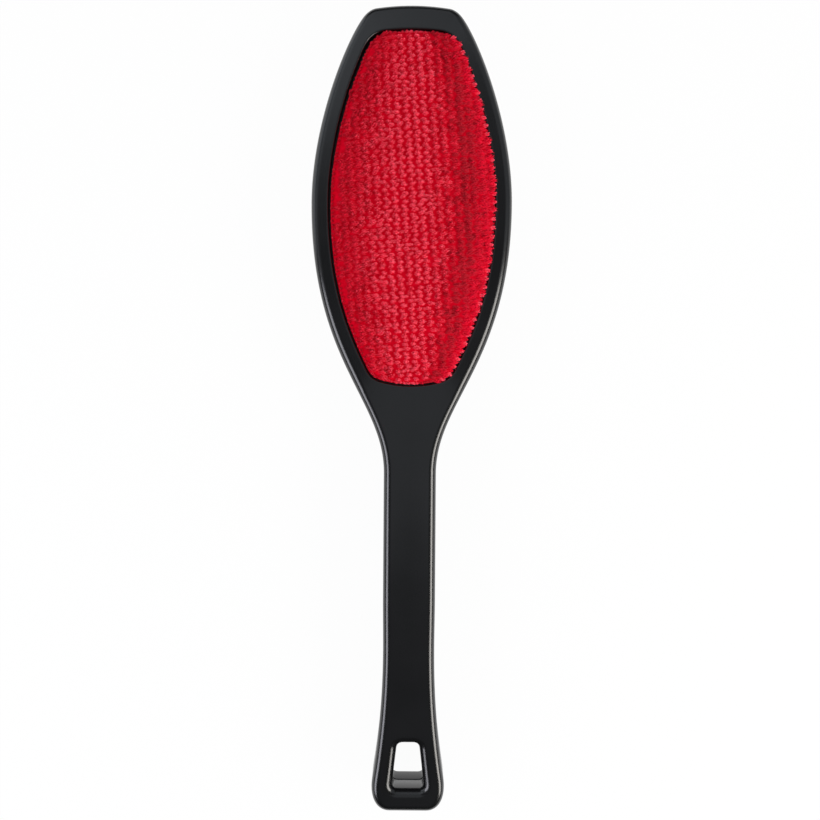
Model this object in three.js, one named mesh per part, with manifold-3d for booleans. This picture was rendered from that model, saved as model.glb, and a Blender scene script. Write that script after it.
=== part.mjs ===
import * as THREE from 'three';
import { mergeVertices } from 'three/addons/utils/BufferGeometryUtils.js';
import Module from 'manifold-3d';

// Double-sided pet hair removal brush, lying face up, in millimetres.
// X runs across the brush, Y from the butt to the head, Z up out of the front pad.

// Body outline, seen from the front
const OVERALL_LENGTH = 270;
const HEAD_WIDTH = 67.4;
const TOP_WIDTH = 33.5;
const TOP_BOW = 0.97;
const TOP_CORNER = 4.4;
const SHOULDER_DROP = 4.05;
const SHOULDER_ANGLE = 36.7;
const WIDEST_FROM_TOP = 66.2;
const NECK_FROM_TOP = 157;
const HANDLE_WIDTH = 17.5;
const FLARE_LENGTH = 60;
const FLARE_ANGLE = 8.7;
const BUTT_WIDTH = 23.9;
const BUTT_CORNER = 10.8;
const BUTT_FLAT = 12.1;

// How full each curve of the outline is, as a share of that curve's own length
const TOP_CORNER_FULLNESS = 0.335;
const SHOULDER_FULLNESS = 0.145;
const UPPER_FLANK_FULLNESS = 0.43;
const LOWER_FLANK_FULLNESS = 0.592;
const NECK_FULLNESS = 0.273;
const GRIP_FULLNESS = 0.253;
const FLARE_FULLNESS = 0.481;
const BUTT_SIDE_FULLNESS = 0.545;
const BUTT_END_FULLNESS = 0.841;

// Body section
const BODY_THICKNESS = 17.6;
const EDGE_ROUND = 2.6;
const SIDE_WALL = 2;
const FACE_WALL = 2;
const SEAM_GAP = 0.3;
const CLEARANCE = 0.3;

// Pad window in each half of the head
const RIM_WIDTH = 5.8;
const TOP_RIM = 8.8;
const WINDOW_LENGTH = 119;
const WINDOW_TOP_BOW = 1.2;
const WINDOW_BOTTOM_BOW = 2.4;
const WINDOW_CORNER = 4.5;
const WINDOW_ROUND = 0.6;
const BEZEL_DEPTH = 3.6;
const BEZEL_WALL = 1.8;

// Hang hole through the butt, wider towards the end of the brush
const HOLE_FROM_BUTT = 7.5;
const HOLE_LENGTH = 15.3;
const HOLE_TOP_WIDTH = 7.3;
const HOLE_BOTTOM_WIDTH = 10.9;
const HOLE_CORNER = 2;

// Tongue, pegs, sockets and ribs that hold the two halves together
const TONGUE_WALL = 1;
const TONGUE_RISE = 1.5;
const TONGUE_ROOT = 3;
const PEG_FROM_BUTT = 33;
const PEG_PITCH = 33;
const PEG_RADIUS = 1.5;
const PEG_RISE = 4;
const SOCKET_SPARE = 0.5;
const BOSS_WALL = 1.3;
const RIB_THICKNESS = 1.2;

// Pad: carrier plate, foam underlay and nap cloth, from the inside out
const PAD_GAP = 0.4;
const PAD_EDGE_DROP = 0.4;
const PAD_CROWN = 2.9;
const CROWN_POWER = 2.6;
const CLOTH_THICKNESS = 1;
const FOAM_THICKNESS = 1.5;
const PLATE_THICKNESS = 1.6;
const FLANGE_THICKNESS = 1.5;
const PLATE_RIB_PITCH = 36;
const PLATE_RIB_THICKNESS = 1.4;
const PLATE_RIB_DEPTH = 2.4;

// Nap of the cloth: leaning tufts in rows that run a few degrees off the brush's own axis
const NAP_GRAIN_ANGLE = 5;
const NAP_PITCH_ACROSS = 5;
const NAP_PITCH_ALONG = 4.4;
const TUFT_RADIUS = 2.2;
const TUFT_HEIGHT = 1.5;
const TUFT_LEAN = 1.1;
const TUFT_ROOT = 0.5;
const TUFT_SIDES = 3;
const TUFT_MARGIN = 0.5;

// Fineness of the curves, and how far pieces run into each other where they are joined
const CURVE_STEP = 9;
const LEAST_STEPS = 4;
const CORNER_STEPS = 3;
const WINDOW_SIDE_STEPS = 10;
const EDGE_STEPS = 3;
const ROUND_SIDES = 12;
const CROWN_RINGS = [1, 0.78, 0.42];
const JOIN = 0.3;
const CUT_PAST = 0.02;
const TOUCH = 1e-6;

const wasm = await Module();
wasm.setup();

const DEGREE = Math.PI / 180;
const topY = OVERALL_LENGTH / 2;
const buttY = -OVERALL_LENGTH / 2;
const faceZ = BODY_THICKNESS / 2;
const innerFaceZ = faceZ - FACE_WALL;
const halfSeam = SEAM_GAP / 2;

// A point reached from another by a heading, measured from straight down the brush towards +X
function along(from, heading, distance) {
  const angle = heading * DEGREE;
  return new THREE.Vector2(from.x + distance * Math.sin(angle), from.y - distance * Math.cos(angle));
}

// Body outline: the right side as a chain of curves from the top middle to the butt middle
const topMiddle = new THREE.Vector2(0, topY);
const topCorner = new THREE.Vector2(TOP_WIDTH / 2 - TOP_CORNER, topY - TOP_BOW);
const shoulder = new THREE.Vector2(TOP_WIDTH / 2, topY - SHOULDER_DROP);
const widest = new THREE.Vector2(HEAD_WIDTH / 2, topY - WIDEST_FROM_TOP);
const neck = new THREE.Vector2(HANDLE_WIDTH / 2, topY - NECK_FROM_TOP);
const buttCorner = new THREE.Vector2(BUTT_WIDTH / 2, buttY + BUTT_CORNER);
const gripEnd = new THREE.Vector2(HANDLE_WIDTH / 2, buttCorner.y + FLARE_LENGTH);
const buttFlat = new THREE.Vector2(BUTT_FLAT / 2, buttY);
const buttMiddle = new THREE.Vector2(0, buttY);

const topControl = new THREE.Vector2(topCorner.x / 2, topY);
const topEdge = new THREE.QuadraticBezierCurve(topMiddle, topControl, topCorner);
const topHandle = TOP_CORNER_FULLNESS * topCorner.distanceTo(shoulder);
const topRound = new THREE.CubicBezierCurve(
  topCorner,
  topCorner.clone().addScaledVector(topCorner.clone().sub(topControl).normalize(), topHandle),
  along(shoulder, SHOULDER_ANGLE + 180, topHandle),
  shoulder,
);

const upperDrop = shoulder.y - widest.y;
const upperFlank = new THREE.CubicBezierCurve(
  shoulder,
  along(shoulder, SHOULDER_ANGLE, SHOULDER_FULLNESS * upperDrop),
  along(widest, 180, UPPER_FLANK_FULLNESS * upperDrop),
  widest,
);
const lowerDrop = widest.y - neck.y;
const lowerFlank = new THREE.CubicBezierCurve(
  widest,
  along(widest, 0, LOWER_FLANK_FULLNESS * lowerDrop),
  along(neck, 180, NECK_FULLNESS * lowerDrop),
  neck,
);
const grip = new THREE.LineCurve(neck, gripEnd);
const flare = new THREE.CubicBezierCurve(
  gripEnd,
  along(gripEnd, 0, GRIP_FULLNESS * FLARE_LENGTH),
  along(buttCorner, FLARE_ANGLE + 180, FLARE_FULLNESS * FLARE_LENGTH),
  buttCorner,
);
const buttRound = new THREE.CubicBezierCurve(
  buttCorner,
  along(buttCorner, FLARE_ANGLE, BUTT_SIDE_FULLNESS * BUTT_CORNER),
  new THREE.Vector2(THREE.MathUtils.lerp(buttFlat.x, buttCorner.x, BUTT_END_FULLNESS), buttY),
  buttFlat,
);
const buttEdge = new THREE.LineCurve(buttFlat, buttMiddle);
const rightSide = [topEdge, topRound, upperFlank, lowerFlank, grip, flare, buttRound, buttEdge];

// Points along one curve, closer together on short curves
function trace(curve) {
  if (curve.isLineCurve) return curve.getPoints(1);
  return curve.getPoints(Math.max(LEAST_STEPS, Math.round(curve.getLength() / CURVE_STEP)));
}

// A closed counterclockwise loop from a right side that runs from the top middle to the bottom middle
function mirrored(side) {
  const left = side.map((point) => new THREE.Vector2(-point.x, point.y));
  return [...left, ...side.slice(1, -1).reverse()];
}

// How near a point lies to a loop
function nearness(loop, point) {
  const nearest = new THREE.Vector3();
  const here = new THREE.Vector3(point.x, point.y, 0);
  const gaps = loop.map((b, i) => {
    const a = loop.at(i - 1);
    const edge = new THREE.Line3(new THREE.Vector3(a.x, a.y, 0), new THREE.Vector3(b.x, b.y, 0));
    return edge.closestPointToPoint(here, true, nearest).distanceTo(here);
  });
  return Math.min(...gaps);
}

// The loop moved in by a distance, or out by a negative one, less the points that a tight corner swallows
function inset(loop, distance) {
  const moved = loop.map((point, i) => {
    const arrive = point.clone().sub(loop.at(i - 1)).normalize();
    const leave = loop[(i + 1) % loop.length].clone().sub(point).normalize();
    const bend = 1 + arrive.dot(leave);
    const ahead = arrive.add(leave).multiplyScalar(distance / bend);
    return new THREE.Vector2(point.x - ahead.y, point.y + ahead.x);
  });
  return moved.filter((point) => nearness(loop, point) > Math.abs(distance) - TOUCH);
}

function inside(loop, x, y) {
  let within = false;
  loop.forEach((a, i) => {
    const b = loop.at(i - 1);
    if (a.y > y !== b.y > y && x < ((b.x - a.x) * (y - a.y)) / (b.y - a.y) + a.x) within = !within;
  });
  return within;
}

const bodySide = rightSide.flatMap((curve, i) => trace(curve).slice(i ? 1 : 0));
const bodyLoop = mirrored(bodySide);

// Window outline: its sides follow the head's flanks at the rim's width, and its ends bow outwards
const windowTop = topY - TOP_RIM;
const windowBottom = windowTop - WINDOW_LENGTH;
const rimLine = inset(bodyLoop, RIM_WIDTH).filter((point) => point.x <= 0);

// Half the window's width at a height, on the line that lies a rim's width inside the body
function windowHalfWidth(y) {
  const i = rimLine.findIndex((point, k) => k > 0 && point.y <= y);
  const [above, below] = [rimLine[i - 1], rimLine[i]];
  return -THREE.MathUtils.mapLinear(y, above.y, below.y, above.x, below.x);
}

// One end of the window, from its middle round the corner to where the side takes over
function windowEnd(endY, bow, towardsMiddle) {
  const cornerY = endY + towardsMiddle * bow;
  const corner = new THREE.Vector2(windowHalfWidth(cornerY), cornerY);
  const edgeX = corner.x - WINDOW_CORNER;
  const edge = new THREE.Vector2(edgeX, endY + towardsMiddle * bow * (edgeX / corner.x) ** 2);
  const sideY = cornerY + towardsMiddle * WINDOW_CORNER;
  const side = new THREE.Vector2(windowHalfWidth(sideY), sideY);
  const middle = new THREE.Vector2(0, endY);
  const bowed = new THREE.QuadraticBezierCurve(middle, new THREE.Vector2(edgeX / 2, endY), edge);
  const rounded = new THREE.QuadraticBezierCurve(edge, corner, side);
  return [...bowed.getPoints(CORNER_STEPS), ...rounded.getPoints(CORNER_STEPS).slice(1)];
}

const windowUpperEnd = windowEnd(windowTop, WINDOW_TOP_BOW, -1);
const windowLowerEnd = windowEnd(windowBottom, WINDOW_BOTTOM_BOW, 1).reverse();
const sideTopY = windowUpperEnd.at(-1).y;
const sideBottomY = windowLowerEnd[0].y;
const windowSide = Array.from({ length: WINDOW_SIDE_STEPS - 1 }, (_, i) => {
  const y = THREE.MathUtils.lerp(sideTopY, sideBottomY, (i + 1) / WINDOW_SIDE_STEPS);
  return new THREE.Vector2(windowHalfWidth(y), y);
});
const windowLoop = mirrored([...windowUpperEnd, ...windowSide, ...windowLowerEnd]);

// Hang hole outline
const holeBottom = buttY + HOLE_FROM_BUTT;
const holeTop = holeBottom + HOLE_LENGTH;
const holeTopCorner = new THREE.Vector2(HOLE_TOP_WIDTH / 2, holeTop);
const holeBottomCorner = new THREE.Vector2(HOLE_BOTTOM_WIDTH / 2, holeBottom);
const holeSlope = holeBottomCorner.clone().sub(holeTopCorner).normalize();
const holeTopRound = new THREE.QuadraticBezierCurve(
  holeTopCorner.clone().setX(holeTopCorner.x - HOLE_CORNER),
  holeTopCorner,
  holeTopCorner.clone().addScaledVector(holeSlope, HOLE_CORNER),
);
const holeBottomRound = new THREE.QuadraticBezierCurve(
  holeBottomCorner.clone().addScaledVector(holeSlope, -HOLE_CORNER),
  holeBottomCorner,
  holeBottomCorner.clone().setX(holeBottomCorner.x - HOLE_CORNER),
);
const holeLoop = mirrored([
  new THREE.Vector2(0, holeTop),
  ...holeTopRound.getPoints(CORNER_STEPS),
  ...holeBottomRound.getPoints(CORNER_STEPS),
  new THREE.Vector2(0, holeBottom),
]);

// Solids for joining and cutting, and back to geometry
function solid(geometry) {
  geometry.deleteAttribute('normal');
  geometry.deleteAttribute('uv');
  const merged = mergeVertices(geometry);
  const vertProperties = new Float32Array(merged.attributes.position.array);
  const triVerts = new Uint32Array(merged.index.array);
  return new wasm.Manifold(new wasm.Mesh({ numProp: 3, vertProperties, triVerts }));
}

function geometryOf(body) {
  const { vertProperties, triVerts } = body.getMesh();
  const geometry = new THREE.BufferGeometry();
  geometry.setAttribute('position', new THREE.BufferAttribute(vertProperties, 3));
  geometry.setIndex(new THREE.BufferAttribute(triVerts, 1));
  geometry.computeVertexNormals();
  return geometry;
}

// A flat slab of an outline between two heights
function slab(loop, lowZ, highZ, holes = []) {
  const shape = new THREE.Shape(loop);
  shape.holes = holes.map((hole) => new THREE.Path(hole));
  const geometry = new THREE.ExtrudeGeometry(shape, { depth: highZ - lowZ, bevelEnabled: false });
  return solid(geometry.translate(0, 0, lowZ));
}

// A slab centred on the middle plane whose edges are rounded in, or flared out by a negative round
function roundedSlab(loop, thickness, round) {
  const geometry = new THREE.ExtrudeGeometry(new THREE.Shape(loop), {
    depth: thickness - 2 * Math.abs(round),
    bevelThickness: Math.abs(round),
    bevelSize: round,
    bevelOffset: -round,
    bevelSegments: EDGE_STEPS,
  });
  return solid(geometry.translate(0, 0, Math.abs(round) - thickness / 2));
}

// A cutter right through the body that leaves a round at both of its faces
function roundedCut(loop, round) {
  return roundedSlab(loop, BODY_THICKNESS + 2 * CUT_PAST, -round);
}

function post(radius, y, lowZ, highZ) {
  const geometry = new THREE.CylinderGeometry(radius, radius, highZ - lowZ, ROUND_SIDES);
  return solid(geometry.rotateX(Math.PI / 2).translate(0, y, (lowZ + highZ) / 2));
}

function bar(width, length, y, lowZ, highZ) {
  const geometry = new THREE.BoxGeometry(width, length, highZ - lowZ);
  return solid(geometry.translate(0, y, (lowZ + highZ) / 2));
}

// Body blank with rounded edges, the hollow inside it and the two windows
const bodySlab = roundedSlab(bodyLoop, BODY_THICKNESS, EDGE_ROUND);
const bodyBlank = bodySlab.subtract(roundedCut(holeLoop, EDGE_ROUND));
const holeTube = inset(holeLoop, -SIDE_WALL);
const cavity = slab(inset(bodyLoop, SIDE_WALL), -innerFaceZ, innerFaceZ);
const hollow = cavity.subtract(slab(holeTube, -faceZ, faceZ));
const windowCut = roundedCut(windowLoop, WINDOW_ROUND);
const bezelBottomZ = faceZ - BEZEL_DEPTH;
const bezelLoop = inset(windowLoop, -BEZEL_WALL);
const everywhere = 2 * OVERALL_LENGTH;

// Stations of the pegs along the grip, and of the ribs half way between them
const bossRadius = PEG_RADIUS + CLEARANCE + BOSS_WALL;
const lastPegY = windowBottom - BEZEL_WALL - CLEARANCE - bossRadius;
const pegCount = Math.floor((lastPegY - buttY - PEG_FROM_BUTT) / PEG_PITCH) + 1;
const pegYs = Array.from({ length: pegCount }, (_, i) => buttY + PEG_FROM_BUTT + i * PEG_PITCH);
const ribYs = pegYs.slice(1).map((y) => y - PEG_PITCH / 2);

// The ribs stop short of the tongue and run into the walls
const ribLowZ = TONGUE_RISE + CLEARANCE;
const ribReach = inset(bodyLoop, SIDE_WALL - JOIN);

function ribs(lowZ, highZ) {
  const bars = ribYs.map((y) => bar(HEAD_WIDTH, RIB_THICKNESS, y, lowZ, highZ));
  return wasm.Manifold.union(bars).intersect(slab(ribReach, lowZ, highZ));
}

function frontShell() {
  const upperHalf = bar(everywhere, everywhere, 0, halfSeam, BODY_THICKNESS);
  const boreTopZ = PEG_RISE + SOCKET_SPARE;
  let shell = bodyBlank.intersect(upperHalf).subtract(hollow);
  shell = shell.add(slab(bezelLoop, bezelBottomZ, innerFaceZ + JOIN));
  shell = shell.subtract(windowCut).add(ribs(ribLowZ, innerFaceZ + JOIN));
  for (const y of pegYs) {
    shell = shell.add(post(bossRadius, y, halfSeam, innerFaceZ + JOIN));
    shell = shell.subtract(post(PEG_RADIUS + CLEARANCE, y, 0, boreTopZ));
  }
  return shell;
}

// The tongue stands on the rear shell's wall and runs up inside the front shell's
function tongue() {
  const inner = inset(bodyLoop, SIDE_WALL + CLEARANCE + TONGUE_WALL);
  const root = slab(inset(bodyLoop, SIDE_WALL - JOIN), -TONGUE_ROOT, -halfSeam - JOIN, [inner]);
  const blade = slab(inset(bodyLoop, SIDE_WALL + CLEARANCE), -TONGUE_ROOT, TONGUE_RISE, [inner]);
  const holeRoom = slab(inset(holeLoop, -SIDE_WALL - CLEARANCE), 0, TONGUE_RISE + JOIN);
  return root.add(blade).subtract(holeRoom);
}

function rearShell() {
  const lowerHalf = bar(everywhere, everywhere, 0, -BODY_THICKNESS, -halfSeam);
  let shell = bodyBlank.intersect(lowerHalf).subtract(hollow);
  shell = shell.add(slab(bezelLoop, -innerFaceZ - JOIN, -bezelBottomZ));
  shell = shell.subtract(windowCut).add(tongue());
  shell = shell.add(ribs(-innerFaceZ - JOIN, -ribLowZ));
  for (const y of pegYs) {
    shell = shell.add(post(bossRadius, y, -innerFaceZ - JOIN, -halfSeam));
    shell = shell.add(post(PEG_RADIUS, y, -halfSeam - JOIN, PEG_RISE));
  }
  return shell;
}

// Heights at the edge of each layer of the pad, from the cloth's outside down to the plate's underside
const clothEdgeZ = faceZ - PAD_EDGE_DROP;
const clothInnerZ = clothEdgeZ - CLOTH_THICKNESS;
const foamEdgeZ = clothInnerZ - CLEARANCE;
const foamInnerZ = foamEdgeZ - FOAM_THICKNESS;
const plateEdgeZ = foamInnerZ - CLEARANCE;
const plateInnerZ = plateEdgeZ - PLATE_THICKNESS;
const flangeTopZ = bezelBottomZ - CLEARANCE;
const flangeBottomZ = flangeTopZ - FLANGE_THICKNESS;
const skirtZ = flangeTopZ + CLEARANCE;

const clothLoop = inset(windowLoop, PAD_GAP);
const clothInnerLoop = inset(clothLoop, CLOTH_THICKNESS);
const plateLoop = inset(clothInnerLoop, CLEARANCE);
const plateInnerLoop = inset(plateLoop, PLATE_THICKNESS);
const padMiddle = new THREE.Vector2(0, (windowTop + windowBottom) / 2);

// Height of a crowned surface above its edge, at a share of the way from its middle to its edge
function crownRise(share) {
  return PAD_CROWN * (1 - share ** CROWN_POWER);
}

// A layer of the pad: a crowned top whose edge lies at topZ, over an underside crowned alike or flat
function crownedLayer(loop, topZ, bottomZ, bottomIsCrowned) {
  const positions = [];
  const faces = [];
  const count = loop.length;
  function surface(edgeZ, rings, rise) {
    const first = positions.length / 3;
    for (const share of rings) {
      for (const point of loop) {
        const place = point.clone().sub(padMiddle).multiplyScalar(share).add(padMiddle);
        positions.push(place.x, place.y, edgeZ + rise(share));
      }
    }
    positions.push(padMiddle.x, padMiddle.y, edgeZ + rise(0));
    return first;
  }
  function skin(first, rings, flipped) {
    const face = (a, b, c) => faces.push(a, ...(flipped ? [c, b] : [b, c]));
    const middle = first + rings.length * count;
    for (let i = 0; i < count; i += 1) {
      const next = (i + 1) % count;
      for (let outer = first; outer + count < middle; outer += count) {
        face(outer + i, outer + next, outer + count + next);
        face(outer + i, outer + count + next, outer + count + i);
      }
      face(middle - count + i, middle - count + next, middle);
    }
  }
  const bottomRings = bottomIsCrowned ? CROWN_RINGS : [1];
  const top = surface(topZ, CROWN_RINGS, crownRise);
  const bottom = surface(bottomZ, bottomRings, bottomIsCrowned ? crownRise : () => 0);
  skin(top, CROWN_RINGS, false);
  skin(bottom, bottomRings, true);
  for (let i = 0; i < count; i += 1) {
    const next = (i + 1) % count;
    faces.push(bottom + i, bottom + next, top + next, bottom + i, top + next, top + i);
  }
  const geometry = new THREE.BufferGeometry();
  geometry.setAttribute('position', new THREE.Float32BufferAttribute(positions, 3));
  geometry.setIndex(faces);
  return solid(geometry);
}

function padPlate() {
  const dome = crownedLayer(plateLoop, plateEdgeZ, plateInnerZ, true);
  const wall = slab(plateLoop, halfSeam, plateEdgeZ, [plateInnerLoop]);
  const foamRoom = slab(inset(plateLoop, -CLEARANCE), plateEdgeZ, BODY_THICKNESS);
  const flange = slab(bezelLoop, flangeBottomZ, flangeTopZ, [plateInnerLoop]).subtract(foamRoom);
  const ribLoop = inset(plateLoop, JOIN);
  const ribLimit = crownedLayer(ribLoop, plateEdgeZ - JOIN, plateEdgeZ - PLATE_RIB_DEPTH, false);
  const ribCount = Math.floor(WINDOW_LENGTH / 2 / PLATE_RIB_PITCH);
  const ribBars = [bar(PLATE_RIB_THICKNESS, OVERALL_LENGTH, 0, 0, BODY_THICKNESS)];
  for (let i = -ribCount; i <= ribCount; i += 1) {
    const y = padMiddle.y + i * PLATE_RIB_PITCH;
    ribBars.push(bar(HEAD_WIDTH, PLATE_RIB_THICKNESS, y, 0, BODY_THICKNESS));
  }
  const plateRibs = wasm.Manifold.union(ribBars).intersect(ribLimit);
  return dome.add(wall).add(flange).add(plateRibs);
}

function foamPad() {
  return crownedLayer(plateLoop, foamEdgeZ, foamInnerZ, true);
}

// How far out a point lies from the pad's middle, as a share of the way to the cloth's edge
function edgeShare(x, y) {
  const place = new THREE.Vector2(x, y);
  const ray = place.clone().sub(padMiddle);
  for (let i = 0; i < clothLoop.length; i += 1) {
    const a = clothLoop[i];
    const side = clothLoop[(i + 1) % clothLoop.length].clone().sub(a);
    const from = a.clone().sub(padMiddle);
    const reach = from.cross(side) / ray.cross(side);
    const across = from.cross(ray) / ray.cross(side);
    if (reach > 0 && across >= 0 && across <= 1) return 1 / reach;
  }
  return 0;
}

// One tuft of the nap: a slim pyramid that leans across the brush
function tuft(x, y, lean) {
  const height = TUFT_HEIGHT + TUFT_ROOT;
  const surfaceZ = clothEdgeZ + crownRise(edgeShare(x, y));
  const geometry = new THREE.ConeGeometry(TUFT_RADIUS, height, TUFT_SIDES);
  geometry.rotateX(Math.PI / 2).translate(0, 0, height / 2);
  geometry.applyMatrix4(new THREE.Matrix4().makeShear(0, 0, 0, 0, lean / height, 0));
  return solid(geometry.translate(x, y, surfaceZ - TUFT_ROOT));
}

// Nap cloth: a cap with a skirt down to the plate's flange, covered in tufts that lean one way
function napCloth(direction) {
  const outer = crownedLayer(clothLoop, clothEdgeZ, skirtZ, false);
  const inner = crownedLayer(clothInnerLoop, clothInnerZ, skirtZ - CLOTH_THICKNESS, false);
  const napLoop = inset(clothLoop, TUFT_RADIUS + TUFT_MARGIN);
  const lean = direction * TUFT_LEAN;
  const turn = new THREE.Vector2(Math.cos(NAP_GRAIN_ANGLE * DEGREE), Math.sin(NAP_GRAIN_ANGLE * DEGREE));
  const rows = Math.ceil(WINDOW_LENGTH / 2 / NAP_PITCH_ALONG) + 1;
  const columns = Math.ceil(HEAD_WIDTH / 2 / NAP_PITCH_ACROSS) + 1;
  const pieces = [outer.subtract(inner)];
  for (let row = -rows; row <= rows; row += 1) {
    const stagger = row % 2 ? NAP_PITCH_ACROSS / 2 : 0;
    const v = row * NAP_PITCH_ALONG;
    for (let column = -columns; column <= columns; column += 1) {
      const u = column * NAP_PITCH_ACROSS + stagger;
      const x = padMiddle.x + u * turn.x - v * turn.y * direction;
      const y = padMiddle.y + u * turn.y * direction + v * turn.x;
      if (inside(napLoop, x, y) && inside(napLoop, x + lean, y)) pieces.push(tuft(x, y, lean));
    }
  }
  return wasm.Manifold.union(pieces);
}

const blackPlastic = { color: 0x26272a, roughness: 0.45, metalness: 0 };
const platePlastic = { color: 0x2f3033, roughness: 0.6, metalness: 0 };
const greyFoam = { color: 0x8b8b88, roughness: 0.95, metalness: 0 };
const redNap = { color: 0xbd1a2c, roughness: 0.9, metalness: 0 };

function piece(name, body, finish) {
  const mesh = new THREE.Mesh(geometryOf(body), new THREE.MeshStandardMaterial(finish));
  mesh.name = name;
  return mesh;
}

// A pad of three layers, for either side of the brush
function pad(side, napDirection) {
  const group = new THREE.Group();
  group.add(
    piece(`${side}_pad_plate`, padPlate(), platePlastic),
    piece(`${side}_foam_pad`, foamPad(), greyFoam),
    piece(`${side}_nap_cloth`, napCloth(napDirection), redNap),
  );
  return group;
}

// The rear pad is turned over about the brush's long axis, with its nap the other way as seen from behind
const rearPad = pad('rear', -1);
rearPad.rotation.y = Math.PI;

const brush = new THREE.Group();
brush.name = 'pet_hair_brush';
brush.add(
  piece('front_shell', frontShell(), blackPlastic),
  piece('rear_shell', rearShell(), blackPlastic),
  pad('front', 1),
  rearPad,
);

// The brush lies on its rear pad, with the floor at height zero
brush.position.z = -new THREE.Box3().setFromObject(brush).min.z;

export default brush;
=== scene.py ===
"""Looks of a double-sided pet hair removal brush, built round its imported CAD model.

Lengths are in millimetres, as on a drawing, measured from the middle of the brush. Each finished mesh is
brought to metres and lifted to the height of the body's middle plane. X runs across the brush, Y from the
butt to the head and Z up out of the front pad.
"""

import math
import random

import bmesh
import bpy
import numpy as np
from mathutils import Matrix, Vector
from mathutils.bvhtree import BVHTree
from mathutils.geometry import interpolate_bezier
from mathutils.kdtree import KDTree


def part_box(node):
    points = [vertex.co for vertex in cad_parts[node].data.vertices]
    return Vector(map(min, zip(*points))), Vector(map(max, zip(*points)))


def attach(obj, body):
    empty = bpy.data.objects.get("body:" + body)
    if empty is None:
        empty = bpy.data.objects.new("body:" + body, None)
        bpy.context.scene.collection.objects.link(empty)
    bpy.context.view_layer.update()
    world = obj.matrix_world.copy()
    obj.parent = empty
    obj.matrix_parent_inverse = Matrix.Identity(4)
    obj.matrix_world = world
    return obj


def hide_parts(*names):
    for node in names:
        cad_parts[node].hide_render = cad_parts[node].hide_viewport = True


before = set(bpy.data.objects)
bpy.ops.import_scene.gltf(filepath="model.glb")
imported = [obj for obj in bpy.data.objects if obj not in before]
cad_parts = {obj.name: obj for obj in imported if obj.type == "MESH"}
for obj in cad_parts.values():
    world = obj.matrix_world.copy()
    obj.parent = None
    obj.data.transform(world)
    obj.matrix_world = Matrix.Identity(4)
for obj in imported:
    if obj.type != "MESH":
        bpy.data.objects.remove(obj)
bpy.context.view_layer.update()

MM = 0.001
front_low, front_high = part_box("front_shell")
rear_low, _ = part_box("rear_shell")
MIDDLE_HEIGHT = (front_high.z + rear_low.z) / 2

# Sizes that the CAD body gives
TOP_Y = front_high.y / MM
BUTT_Y = front_low.y / MM
HEAD_HALF = front_high.x / MM
FACE_Z = (front_high.z - MIDDLE_HEIGHT) / MM
HALF_SEAM = (front_low.z - MIDDLE_HEIGHT) / MM

# Body outline
TOP_WIDTH = 33.5
TOP_BOW = 0.97
TOP_CORNER = 4.4
SHOULDER_DROP = 4.05
SHOULDER_ANGLE = 36.7
WIDEST_FROM_TOP = 66.2
NECK_FROM_TOP = 157.0
HANDLE_WIDTH = 17.5
FLARE_LENGTH = 60.0
FLARE_ANGLE = 8.7
BUTT_WIDTH = 23.9
BUTT_CORNER = 10.8
BUTT_FLAT = 12.1

# How full each curve of the outline is, as a share of that curve's own length
TOP_CORNER_FULLNESS = 0.335
SHOULDER_FULLNESS = 0.145
UPPER_FLANK_FULLNESS = 0.43
LOWER_FLANK_FULLNESS = 0.592
NECK_FULLNESS = 0.273
GRIP_FULLNESS = 0.253
FLARE_FULLNESS = 0.481
BUTT_SIDE_FULLNESS = 0.545
BUTT_END_FULLNESS = 0.841

# Points along each curve
TOP_STEPS = 8
TOP_CORNER_STEPS = 10
UPPER_FLANK_STEPS = 40
LOWER_FLANK_STEPS = 56
FLARE_STEPS = 24
BUTT_STEPS = 20
WINDOW_STEPS = 10
HOLE_STEPS = 8

# Walls and rounds of the two half shells, and the strips of faces across each round
EDGE_ROUND = 2.6
EDGE_STRIPS = 14
HOLE_ROUND = 2.8
HOLE_STRIPS = 10
SEAM_CHAMFER = 0.35
SEAM_STRIPS = 2
WALL = 2.0

# Flat front: the border left round it, and the least corners that tell it from the strips
FACE_BORDER = 0.15
FACE_LEAST_CORNERS = 30

# Handling polishes the edges where they slope: the upward part of the normal at which polish starts, and
# the further fall over which it becomes full
POLISH_START = 0.98
POLISH_RANGE = 0.1

# Pad window; the join is the stretch of flank left out beside each rounded end
RIM_WIDTH = 5.8
TOP_RIM = 8.8
WINDOW_LENGTH = 119.0
WINDOW_TOP_BOW = 1.2
WINDOW_BOTTOM_BOW = 2.4
WINDOW_TOP_CORNER = 4.5
WINDOW_BOTTOM_CORNER = 2.8
WINDOW_ROUND = 0.6
WINDOW_STRIPS = 5
WINDOW_JOIN = 1.0
BEZEL_DEPTH = 3.6

# How far the rim falls from the window to its outer edge, where that dies out towards the neck, and the
# pitch of the points on the window that it is measured from
RIM_FALL = 0.55
FALL_FROM_Y = -14.0
FALL_FULL_Y = 14.0
FALL_PITCH = 0.5

# Hang hole
HOLE_FROM_BUTT = 7.5
HOLE_LENGTH = 15.3
HOLE_TOP_WIDTH = 7.3
HOLE_BOTTOM_WIDTH = 10.9
HOLE_CORNER = 2.0

# Pad: nap cloth over a sponge underlay, set a little askew in its window. Its crown is built in rings,
# with part of a ring left in the middle
PAD_GAP = 0.6
PAD_TURN = math.radians(-0.45)
PAD_SHIFT = 0.12
PAD_EDGE_DROP = 0.1
PAD_CROWN = 2.6
CROWN_POWER = 3.2
CROWN_RINGS = 14
CROWN_MIDDLE = 0.3
CLOTH_THICKNESS = 0.45
CLOTH_ROUND = 1.4
CLOTH_STRIPS = 6
FOAM_GAP = 0.5
FOAM_THICKNESS = 1.5

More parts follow.
